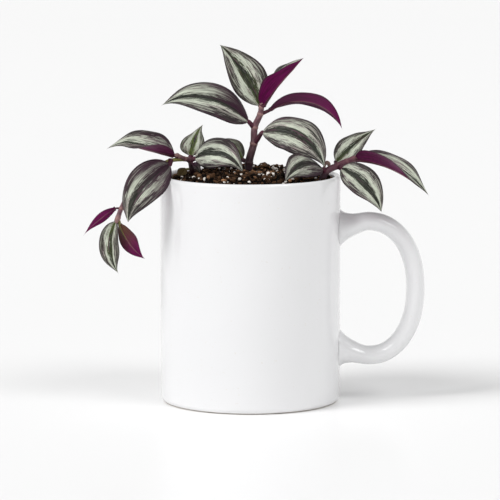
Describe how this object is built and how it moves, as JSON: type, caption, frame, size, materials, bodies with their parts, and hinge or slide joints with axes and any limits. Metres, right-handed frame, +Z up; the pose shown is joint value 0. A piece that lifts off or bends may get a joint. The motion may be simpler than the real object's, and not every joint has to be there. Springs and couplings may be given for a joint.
{
  "type": "potted tradescantia",
  "caption": "Zebra-leaved tradescantia with silver-striped, purple-backed leaves, planted in a plain white mug with a loop handle.",
  "frame": {"origin": "centre of the mug's flat underside, on the surface that it stands on", "axes": "+Z up along the mug's axis, +X towards the handle, and the side with the handle to the right, as pictured, is seen along +Y"},
  "size_m": [0.1521, 0.08, 0.1582],
  "materials": {
    "glaze": "gloss",
    "soil": "matte",
    "stem": "satin",
    "leaf": "satin"
  },
  "bodies": {
    "root": {"mug": "glaze", "soil": "soil", "upright_stem": "stem", "left_stem": "stem", "left_trailing_stem": "stem", "right_stem": "stem", "right_bud": "stem", "upright_leaf_crown": "leaf", "upright_leaf_crown_folded": "leaf", "upright_leaf_upper_left": "leaf", "upright_leaf_upper_right": "leaf", "upright_leaf_lower_right": "leaf", "upright_leaf_lower_left": "leaf", "left_leaf_inner": "leaf", "left_leaf_raised": "leaf", "left_leaf_far": "leaf", "left_leaf_hanging": "leaf", "left_leaf_curled": "leaf", "left_leaf_small": "leaf", "trailing_leaf_outer": "leaf", "trailing_leaf_middle": "leaf", "trailing_leaf_inner": "leaf", "right_leaf_inner": "leaf", "right_leaf_raised": "leaf", "right_leaf_far": "leaf", "right_leaf_hanging": "leaf"}
  },
  "joints": []
}
